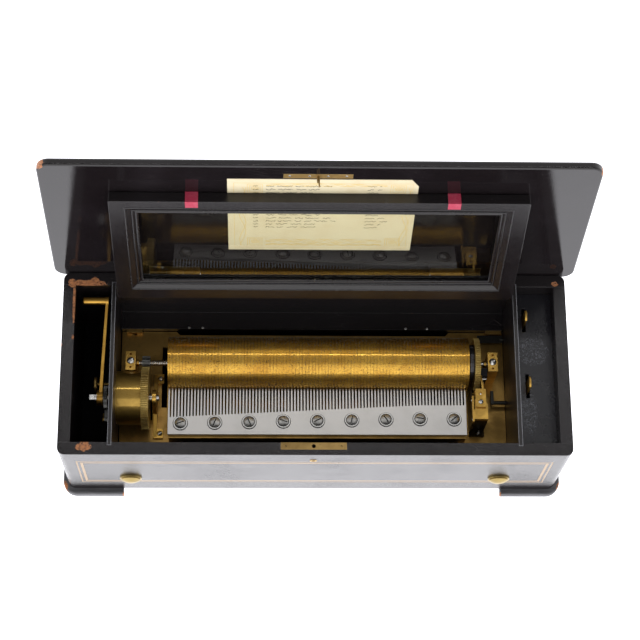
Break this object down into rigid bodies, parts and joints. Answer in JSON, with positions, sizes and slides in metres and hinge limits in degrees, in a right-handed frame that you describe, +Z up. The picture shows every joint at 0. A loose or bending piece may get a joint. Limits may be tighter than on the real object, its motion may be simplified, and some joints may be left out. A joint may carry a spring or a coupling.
{
  "type": "cylinder music box",
  "caption": "Ebonised wooden case with two hinged lids over a pinned brass cylinder, steel comb, spring barrel, winding lever, governor and control levers.",
  "frame": {"origin": "on the surface the feet stand on, under the middle of the whole box with its lids open", "axes": "+X along the case towards the control compartment, +Y to the hinged back, +Z up"},
  "size_m": [0.519, 0.2312, 0.3303],
  "materials": {
    "ebonised_wood": "worn black polish over reddish-brown wood",
    "boxwood": "pale inlay under varnish",
    "case_brass": "tarnished",
    "movement_brass": "aged, lacquered",
    "cylinder_brass": "satin, thickly pinned",
    "polished_steel": "ground and polished",
    "dark_steel": "blued or black",
    "paper": "printed card, yellowed",
    "ribbon": "crimson silk",
    "glass": "clear"
  },
  "bodies": {
    "case": {"lock_plate": "case_brass", "lock_case": "dark_steel", "keyhole_ring": "case_brass", "front_board": "ebonised_wood", "back_board": "ebonised_wood", "left_board": "ebonised_wood", "right_board": "ebonised_wood", "bottom_board": "ebonised_wood", "bracket_feet": "ebonised_wood", "front_stringing": "boxwood", "left_partition": "ebonised_wood", "right_partition": "ebonised_wood", "control_panel": "ebonised_wood", "movement_bolts": "case_brass", "bolt_cups": "case_brass", "lid_hinge_case_leaves": "case_brass", "glass_hinge_wall_leaves": "case_brass", "hinge_pins": "polished_steel", "bedplate": "movement_brass", "comb": "polished_steel", "comb_base": "movement_brass", "comb_washers": "polished_steel", "comb_screws": "polished_steel", "governor_frame": "movement_brass", "governor_cock": "movement_brass", "arbor_bearings": "movement_brass", "barrel_bridge_left": "movement_brass", "barrel_bridge_right": "movement_brass", "movement_screws": "polished_steel"},
    "lid": {"lid_panel": "ebonised_wood", "strike_plate": "case_brass", "tune_sheet": "paper", "lid_hinge_lid_leaves": "case_brass"},
    "glass_lid": {"glass_frame": "ebonised_wood", "glass_pane": "glass", "glass_beads": "ebonised_wood", "ribbon_pulls": "ribbon", "glass_hinge_frame_leaves": "case_brass"},
    "arbor": {"cylinder_arbor": "polished_steel", "cylinder_pinion": "polished_steel", "cylinder_great_wheel": "movement_brass", "tune_snail": "dark_steel", "change_spring": "polished_steel"},
    "cylinder": {"cylinder_sleeve": "cylinder_brass", "cylinder_caps": "movement_brass"},
    "barrel": {"barrel_drum": "movement_brass", "barrel_great_wheel": "movement_brass", "mainspring": "dark_steel"},
    "winding": {"winding_lever": "movement_brass", "winding_handle": "movement_brass", "winding_arbor": "polished_steel", "ratchet_wheel": "polished_steel"},
    "click": {"ratchet_click": "polished_steel"},
    "governor_first": {"governor_first_wheel": "movement_brass"},
    "governor_second": {"governor_second_wheel": "movement_brass"},
    "governor_fan": {"governor_worm": "polished_steel", "governor_fan": "movement_brass"},
    "start_stop": {"start_stop_lever": "movement_brass"},
    "change": {"change_lever": "movement_brass"},
    "lock_bolt": {"lock_bolt": "polished_steel"}
  },
  "joints": [
    {"name": "lid_hinge", "type": "hinge", "parent": "case", "child": "lid", "pos_m": [0, 0.07819, 0.138], "axis": [1, 0, 0], "range_deg": [0, 98.6]},
    {"name": "glass_lid_hinge", "type": "hinge", "parent": "case", "child": "glass_lid", "pos_m": [0, 0.06189, 0.136], "axis": [1, 0, 0], "range_deg": [0, 104.2]},
    {"name": "cylinder_spin", "type": "hinge", "parent": "case", "child": "arbor", "pos_m": [0, 0.00189, 0.082], "axis": [1, 0, 0], "continuous": true},
    {"name": "cylinder_shift", "type": "slide", "parent": "arbor", "child": "cylinder", "axis": [-1, 0, 0], "range_m": [0, 0.002], "stiffness_N_per_m": 600, "deforming": ["change_spring"]},
    {"name": "barrel_spin", "type": "hinge", "parent": "case", "child": "barrel", "pos_m": [-0.18, -0.03521, 0.082], "axis": [1, 0, 0], "continuous": true},
    {"name": "governor_first_spin", "type": "hinge", "parent": "case", "child": "governor_first", "pos_m": [0.168, -0.02771, 0.07654], "axis": [1, 0, 0], "continuous": true},
    {"name": "governor_second_spin", "type": "hinge", "parent": "case", "child": "governor_second", "pos_m": [0.168, -0.04221, 0.0727], "axis": [1, 0, 0], "continuous": true},
    {"name": "governor_fan_spin", "type": "hinge", "parent": "case", "child": "governor_fan", "pos_m": [0.1668, -0.03366, 0.062], "axis": [0, 0, 1], "continuous": true},
    {"name": "winding_stroke", "type": "hinge", "parent": "case", "child": "winding", "pos_m": [-0.215, -0.03521, 0.082], "axis": [-1, 0, 0], "range_deg": [-105, 0]},
    {"name": "click_pivot", "type": "hinge", "parent": "case", "child": "click", "pos_m": [-0.2095, -0.05421, 0.068], "axis": [-1, 0, 0], "range_deg": [0, 12], "stiffness_Nm_per_rad": 0.02, "springref_deg": -11.46},
    {"name": "start_stop_tilt", "type": "hinge", "parent": "case", "child": "start_stop", "pos_m": [0.2116, -0.03251, 0.061], "axis": [1, 0, 0], "range_deg": [-6, 6]},
    {"name": "change_tilt", "type": "hinge", "parent": "case", "child": "change", "pos_m": [0.2104, 0.03689, 0.058], "axis": [1, 0, 0], "range_deg": [-6, 6]},
    {"name": "lock_bolt_slide", "type": "slide", "parent": "case", "child": "lock_bolt", "axis": [1, 0, 0], "range_m": [0, 0.0045]}
  ],
  "couplings": [
    {"joint": "glass_lid_hinge", "follows": "lid_hinge", "ratio": 1.0568},
    {"joint": "barrel_spin", "follows": "cylinder_spin", "ratio": -0.20455},
    {"joint": "governor_first_spin", "follows": "cylinder_spin", "ratio": -6.1667},
    {"joint": "governor_second_spin", "follows": "cylinder_spin", "ratio": 30.833},
    {"joint": "governor_fan_spin", "follows": "cylinder_spin", "ratio": 246.67}
  ]
}
